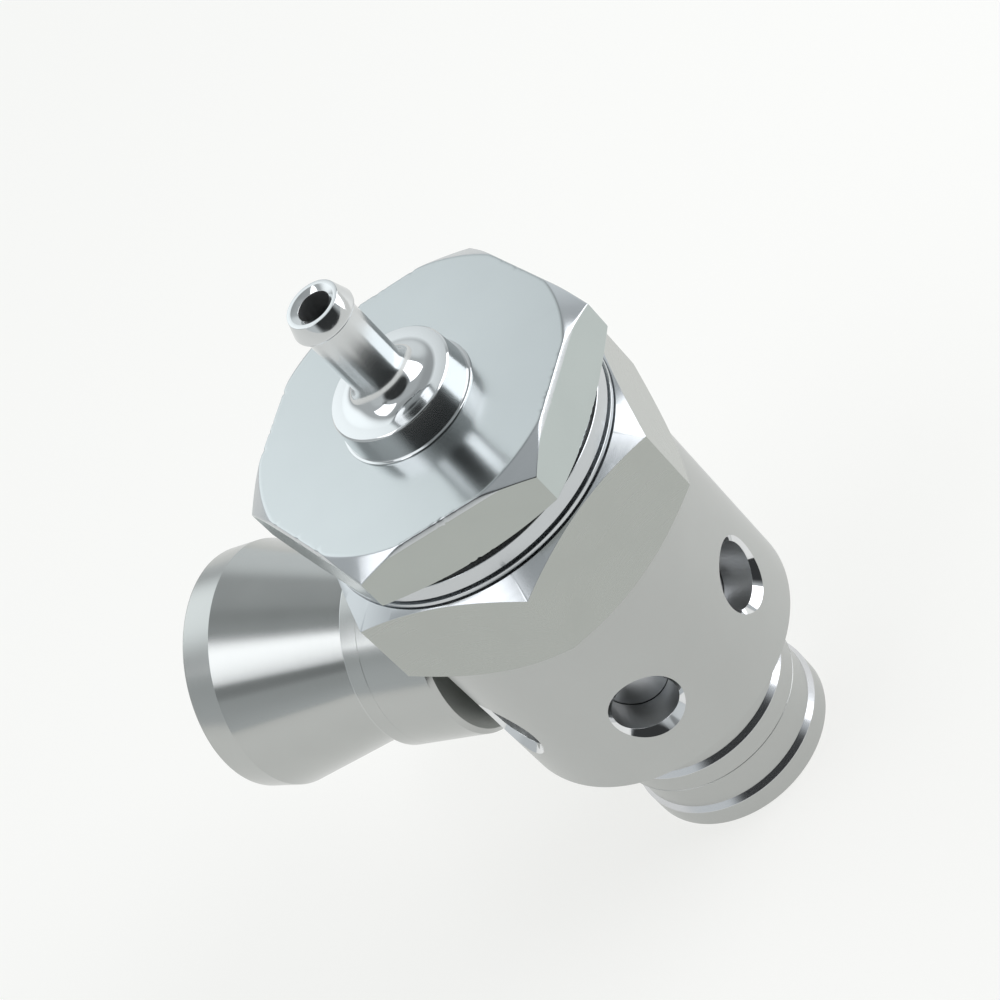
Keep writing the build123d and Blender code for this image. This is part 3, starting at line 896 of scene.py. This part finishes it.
def trumpet_outline(angle):
    ring_start, ring_end, ring_floor = trumpet_o_ring_groove
    grub_start, grub_end, grub_floor = trumpet_grub_groove
    return [
        (trumpet_bore_radius, plug_end, eased_edge, OUTSIDE),
        (plug_radius, plug_end, round_edge, OUTSIDE),
        (plug_radius, ring_start, 0, OUTSIDE),
        (ring_floor, ring_start, 0, OUTSIDE),
        (ring_floor, ring_end, 0, OUTSIDE),
        (plug_radius, ring_end, 0, OUTSIDE),
        (plug_radius, grub_start, 0, OUTSIDE),
        (grub_floor, grub_start, 0, OUTSIDE),
        (grub_floor, grub_end, 0, OUTSIDE),
        (plug_radius, grub_end, 0, OUTSIDE),
        (plug_radius, collar_length, 0, OUTSIDE),
        (collar_radius, collar_length, crisp_edge, OUTSIDE),
        (collar_radius, flange_end, eased_edge, FLANGE_END),
        (trumpet_neck_radius, flange_end, neck_edge, OUTSIDE),
        (trumpet_cone_radius, trumpet_cone_end, eased_edge, OUTSIDE),
        (trumpet_mouth_radius, trumpet_mouth, trumpet_mouth_edge, OUTSIDE),
        *bell_points(),
    ]


adapter = turned("outlet_collar", adapter_outline, even_angles(turn_steps), outlet_axis)
finished(adapter, [outlet_turned, outlet_bored])
stand_in(adapter, "outlet_adapter", "housing")
trumpet = turned("trumpet_bell", trumpet_outline, even_angles(turn_steps), outlet_axis)
finished(trumpet, [outlet_turned, outlet_bored, outlet_bright])
stand_in(trumpet, "trumpet", "housing")


# Main spring
def add_spring():
    """The coil spring in round wire, with both ends ground flat."""
    low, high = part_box("main_spring")
    bottom = low[2] / mm + spring_seat_gap
    top = high[2] / mm - spring_seat_gap
    start = bottom + spring_wire_radius / 2
    rise = (top - bottom - spring_wire_radius) / spring_turns
    steps = spring_turns * spring_steps
    work = bmesh.new()
    rings = []
    for step in range(steps + 1):
        turn = 2 * pi * step / spring_steps
        across = Vector((cos(turn), sin(turn), 0))
        along = Vector((-sin(turn), cos(turn), rise / (2 * pi * spring_radius))).normalized()
        up = across.cross(along)
        middle = across * spring_radius + Vector((0, 0, start + rise * turn / (2 * pi)))
        ring = []
        for side in range(spring_wire_sides):
            angle = 2 * pi * side / spring_wire_sides
            spot = middle + (across * cos(angle) + up * sin(angle)) * spring_wire_radius
            spot.z = min(max(spot.z, bottom), top)
            ring.append(work.verts.new(spot * mm))
        rings.append(ring)
    for ring, ahead in zip(rings, rings[1:]):
        for i in range(spring_wire_sides):
            j = (i + 1) % spring_wire_sides
            work.faces.new((ring[i], ahead[i], ahead[j], ring[j])).smooth = True
    work.faces.new(rings[0])
    work.faces.new(rings[-1])
    bmesh.ops.recalc_face_normals(work, faces=work.faces)
    mesh = bpy.data.meshes.new("coil_spring")
    mesh.materials.append(spring_steel)
    work.to_mesh(mesh)
    work.free()
    spring = bpy.data.objects.new("coil_spring", mesh)
    bpy.context.scene.collection.objects.link(spring)
    creased(spring)
    stand_in(spring, "main_spring", "housing")
    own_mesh(spring)


add_spring()

node_materials = {
    "cap_o_ring": oiled_rubber,
    "nipple_seal": black_rubber,
    "trumpet_o_ring": black_rubber,
    "piston_o_ring_lower": black_rubber,
    "piston_o_ring_upper": black_rubber,
    "face_seal": black_rubber,
    "piston_guide_ring": guide_plastic,
    "piston": hard_anodised,
    "seal_retainer": hard_anodised,
    "upper_spring_seat": hard_anodised,
    "preload_shim": steel,
    "lower_spring_washer": steel,
    "retainer_screw": steel,
    "trumpet_grub_screw": steel,
}
for name, material in node_materials.items():
    nodes[name].data.materials.clear()
    nodes[name].data.materials.append(material)


# Studio

# Places in it are in metres, and directions in degrees.
middle_of_valve = Vector((-0.01, 0, 0.045))
lamp_color = (0.97, 0.97, 1)


def direction(azimuth, elevation):
    azimuth = radians(azimuth)
    elevation = radians(elevation)
    return Vector((cos(azimuth) * cos(elevation), sin(azimuth) * cos(elevation), sin(elevation)))


def add_panel(name, azimuth, elevation, away, width, height, power):
    """A soft box that faces the valve."""
    light = bpy.data.lights.new(name, "AREA")
    light.shape = "RECTANGLE"
    light.size = width
    light.size_y = height
    light.energy = power
    light.color = lamp_color
    panel = bpy.data.objects.new(name, light)
    bpy.context.scene.collection.objects.link(panel)
    towards = direction(azimuth, elevation)
    facing = towards.to_track_quat("Z", "Y").to_matrix().to_4x4()
    panel.matrix_world = Matrix.Translation(middle_of_valve + towards * away) @ facing


add_panel("panel_left", azimuth=-124, elevation=57, away=0.8, width=0.48, height=0.46, power=1.22)
add_panel("panel_right", azimuth=40, elevation=26, away=0.5, width=0.44, height=0.48, power=1.6)


# Brightness and color of the tent's wall, and its patches: azimuth, elevation, inner and outer
# reach, and how much brighter or darker they are
world_base = 0.58
world_least = 0.045
world_color = (0.95, 1.0, 1.02)
world_patches = (
    (158, 33, 8, 32, 0.95),
    (105, 8, 12, 34, 0.35),
    (-110, 8, 14, 34, 0.12),
    (-100, 35, 3, 9, -0.32),
    (115, 62, 12, 32, -0.12),
    (180, 84, 8, 22, -0.1),
    (-66, 20, 14, 32, -0.56),
    (-45, 28, 18, 34, -0.56),
    (-20, 20, 16, 34, -0.56),
)


def make_world():
    """A light tent: pale all round, paler behind the valve and dark where the camera stands."""
    world = bpy.data.worlds.new("studio")
    bpy.context.scene.world = world
    world.use_nodes = True
    tree = world.node_tree
    new = tree.nodes.new
    link = tree.links.new
    background = tree.nodes["Background"]
    background.inputs["Color"].default_value = (*world_color, 1)
    place = new("ShaderNodeTexCoord")

    def patch(azimuth, elevation, inner, outer, strength):
        """A round patch of light that fades from inner to outer degrees off its middle."""
        facing = new("ShaderNodeVectorMath")
        facing.operation = "DOT_PRODUCT"
        facing.inputs[1].default_value = direction(azimuth, elevation)
        link(place.outputs["Generated"], facing.inputs[0])
        fade = new("ShaderNodeMapRange")
        fade.interpolation_type = "SMOOTHSTEP"
        link(facing.outputs["Value"], fade.inputs["Value"])
        fade.inputs["From Min"].default_value = cos(radians(outer))
        fade.inputs["From Max"].default_value = cos(radians(inner))
        fade.inputs["To Min"].default_value = 0
        fade.inputs["To Max"].default_value = strength
        return fade.outputs["Result"]

    total = None
    for values in world_patches:
        shade = patch(*values)
        add = new("ShaderNodeMath")
        add.operation = "ADD"
        link(shade, add.inputs[0])
        if total is None:
            add.inputs[1].default_value = world_base
        else:
            link(total, add.inputs[1])
        total = add.outputs[0]
    least = new("ShaderNodeMath")
    least.operation = "MAXIMUM"
    least.inputs[1].default_value = world_least
    link(total, least.inputs[0])
    link(least.outputs[0], background.inputs["Strength"])


make_world()


# Share of plain white that the camera and the metal see in the floor, over its own shaded paper
floor_white_share = 0.7
floor_color = (0.93, 0.93, 0.91)
floor_white_strength = 1 / max(floor_color)
floor_roughness = 0.9
floor_half_side = 40
floor_segments = 8


def add_floor():
    work = bmesh.new()
    bmesh.ops.create_grid(
        work, x_segments=floor_segments, y_segments=floor_segments, size=floor_half_side
    )
    mesh = bpy.data.meshes.new("floor")
    work.to_mesh(mesh)
    work.free()
    floor = bpy.data.objects.new("floor", mesh)
    bpy.context.scene.collection.objects.link(floor)
    material = bpy.data.materials.new("floor_paper")
    material.use_nodes = True
    tree = material.node_tree
    new = tree.nodes.new
    link = tree.links.new
    paper = tree.nodes["Principled BSDF"]
    paper.inputs["Roughness"].default_value = floor_roughness
    paper.inputs["Base Color"].default_value = (*floor_color, 1)
    white = new("ShaderNodeEmission")
    white.inputs["Strength"].default_value = floor_white_strength
    white.inputs["Color"].default_value = (*floor_color, 1)
    ray = new("ShaderNodeLightPath")
    seen = ray.outputs["Is Camera Ray"]
    for kind in ("Is Glossy Ray", "Is Transmission Ray"):
        either = new("ShaderNodeMath")
        either.operation = "MAXIMUM"
        link(seen, either.inputs[0])
        link(ray.outputs[kind], either.inputs[1])
        seen = either.outputs[0]
    share = new("ShaderNodeMath")
    share.operation = "MULTIPLY"
    share.inputs[1].default_value = floor_white_share
    link(seen, share.inputs[0])
    mix = new("ShaderNodeMixShader")
    link(share.outputs[0], mix.inputs[0])
    link(paper.outputs[0], mix.inputs[1])
    link(white.outputs[0], mix.inputs[2])
    link(mix.outputs[0], tree.nodes["Material Output"].inputs["Surface"])
    mesh.materials.append(material)


add_floor()

bpy.context.scene.view_settings.view_transform = "Standard"
